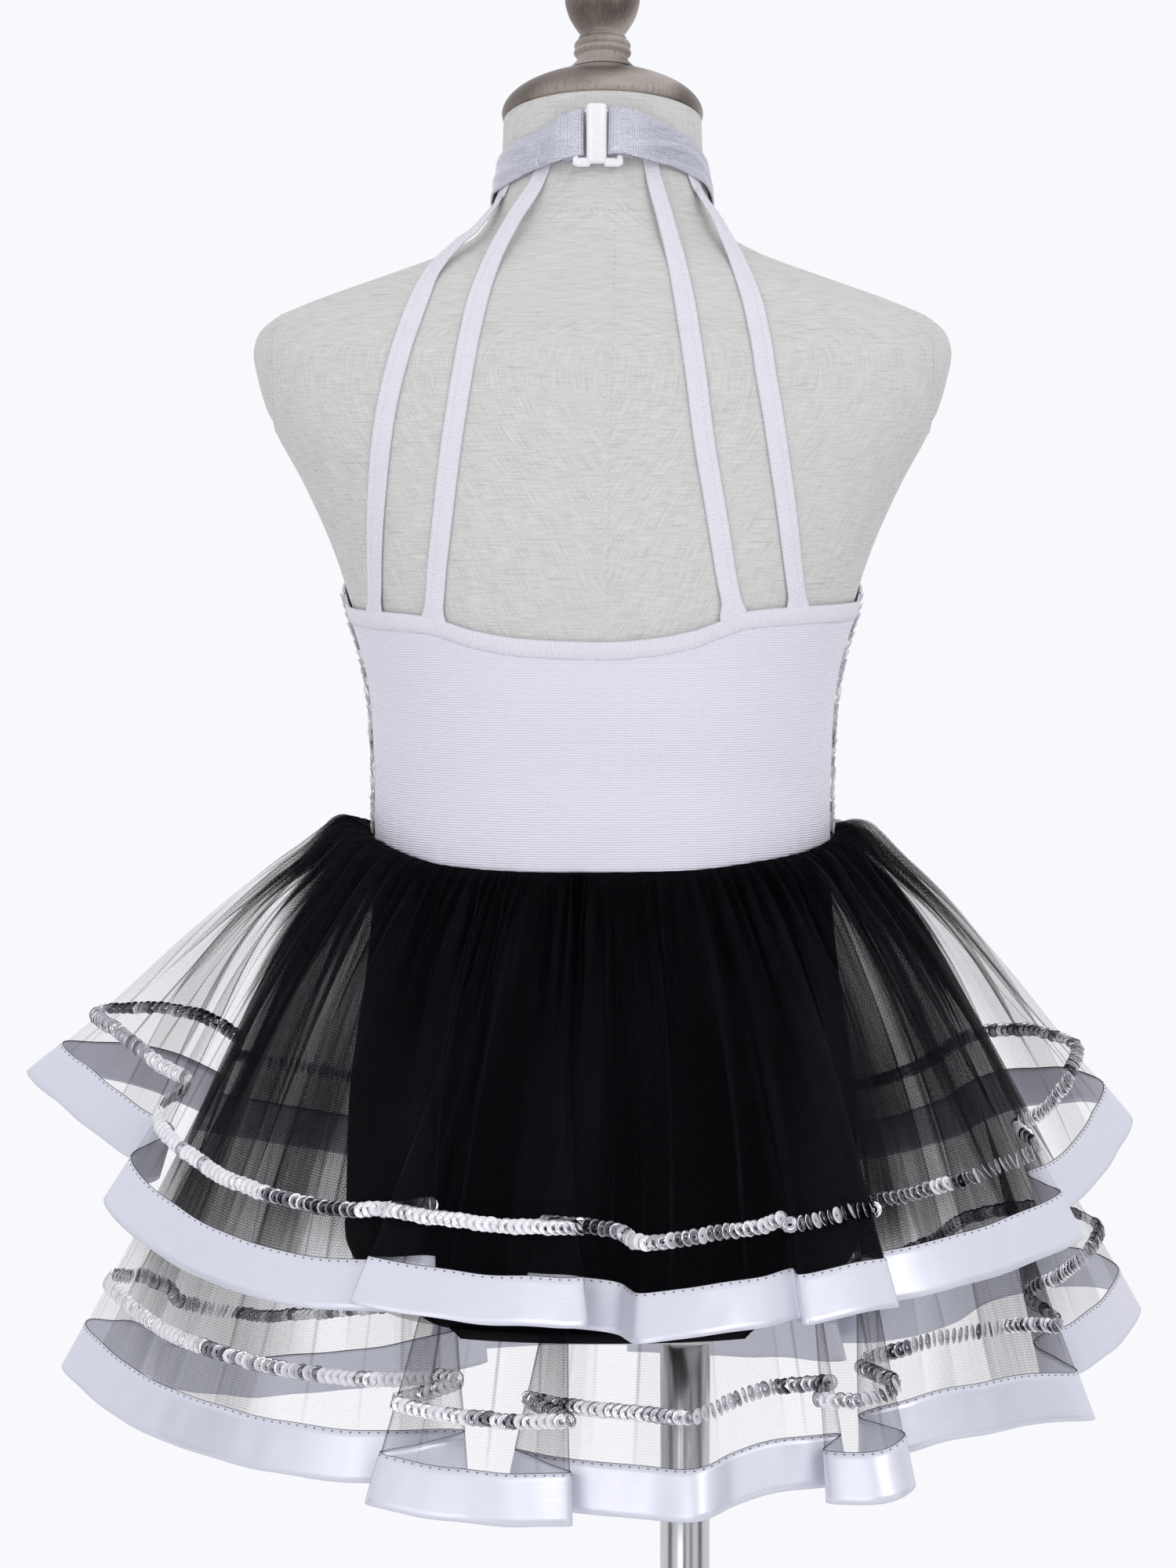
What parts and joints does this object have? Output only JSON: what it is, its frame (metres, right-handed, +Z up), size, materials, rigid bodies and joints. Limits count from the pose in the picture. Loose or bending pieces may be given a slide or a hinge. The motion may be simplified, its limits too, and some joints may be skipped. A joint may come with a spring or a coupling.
{
  "type": "ballet tutu dress on a dress form",
  "caption": "Halter ballet dress with a satin back, sequined front, back straps clasped at a collar, brief and tiered ribbon-edged net skirt, on a limbless linen form with a pole and base.",
  "frame": {"origin": "centre of the underside of the stand's round base, on the pole's axis", "axes": "+Z up along the pole, -Y towards the back of the dress, which is the side the picture shows, and +X to the right in that view"},
  "size_m": [0.4783, 0.3788, 1.0209],
  "materials": {
    "form_linen": "plain-woven linen cover, matte",
    "form_wood": "turned grey-brown hardwood, waxed",
    "tricot": "satin stretch tricot with fine ribs across",
    "binding": "folded ribbed binding",
    "strap": "ribbed strap elastic with a stitch row",
    "sequin_cloth": "silver sequined stretch cloth",
    "lame": "lilac-silver metallic knit, satin sheen",
    "clasp_plastic": "moulded, glossy white",
    "brief_knit": "matte black stretch knit",
    "tulle": "stiff black hexagonal net",
    "ribbon": "white satin ribbon",
    "stand_chrome": "polished"
  },
  "bodies": {
    "root": {"form_torso": "form_linen", "neck_cap": "form_wood", "finial": "form_wood", "back_bodice": "tricot", "back_binding": "binding", "front_bodice": "sequin_cloth", "armhole_binding_left": "binding", "armhole_binding_right": "binding", "collar_band": "lame", "clasp_hook": "clasp_plastic", "clasp_eye": "clasp_plastic", "strap_outer_left": "strap", "strap_inner_left": "strap", "strap_inner_right": "strap", "strap_outer_right": "strap", "brief_back": "brief_knit", "brief_front": "brief_knit", "brief_gusset": "brief_knit", "tier_lower_tulle": "tulle", "tier_lower_ribbon": "ribbon", "tier_upper_tulle": "tulle", "tier_upper_ribbon": "ribbon", "base_disc": "stand_chrome", "base_collar": "stand_chrome", "pole": "stand_chrome", "pole_socket": "stand_chrome"}
  },
  "joints": []
}
